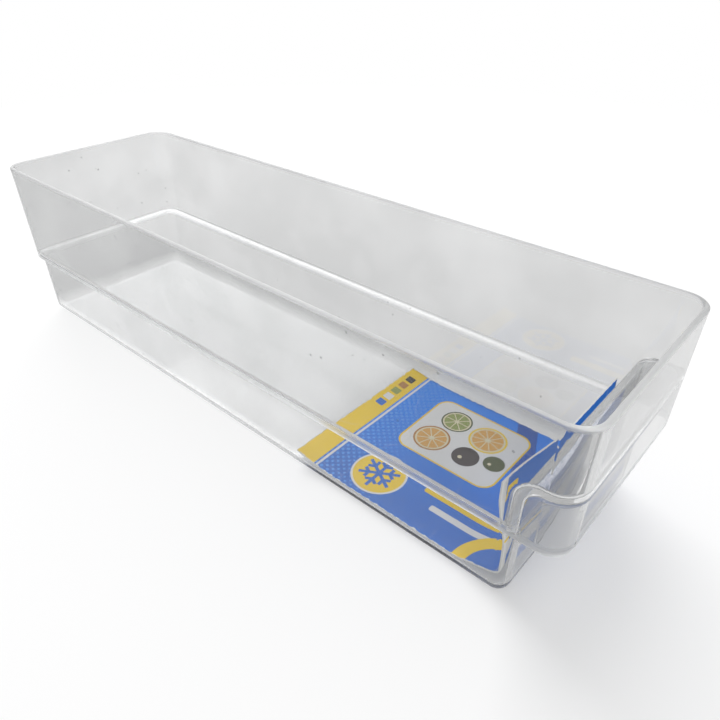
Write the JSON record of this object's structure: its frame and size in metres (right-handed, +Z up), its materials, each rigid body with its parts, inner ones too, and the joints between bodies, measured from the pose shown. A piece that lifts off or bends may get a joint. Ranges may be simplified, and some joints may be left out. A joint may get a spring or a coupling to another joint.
{
  "type": "refrigerator storage bin",
  "caption": "Clear long storage bin with drafted walls, a stepped stacking ledge, a moulded finger-pull front and a folded printed card that lifts out.",
  "frame": {"origin": "centre of the outline, on the surface that the bin stands on", "axes": "+Z up, length along Y with the finger pull towards -Y, width along X"},
  "size_m": [0.108, 0.368, 0.095],
  "materials": {
    "clear_plastic": "clear, polished moulding",
    "printed_card": "satin coated print"
  },
  "bodies": {
    "bin": {"bin_body": "clear_plastic"},
    "card": {"label_card": "printed_card"}
  },
  "joints": [
    {"name": "card_lift", "type": "slide", "parent": "bin", "child": "card", "axis": [0, 0, 1], "range_m": [0, 0.1]}
  ]
}
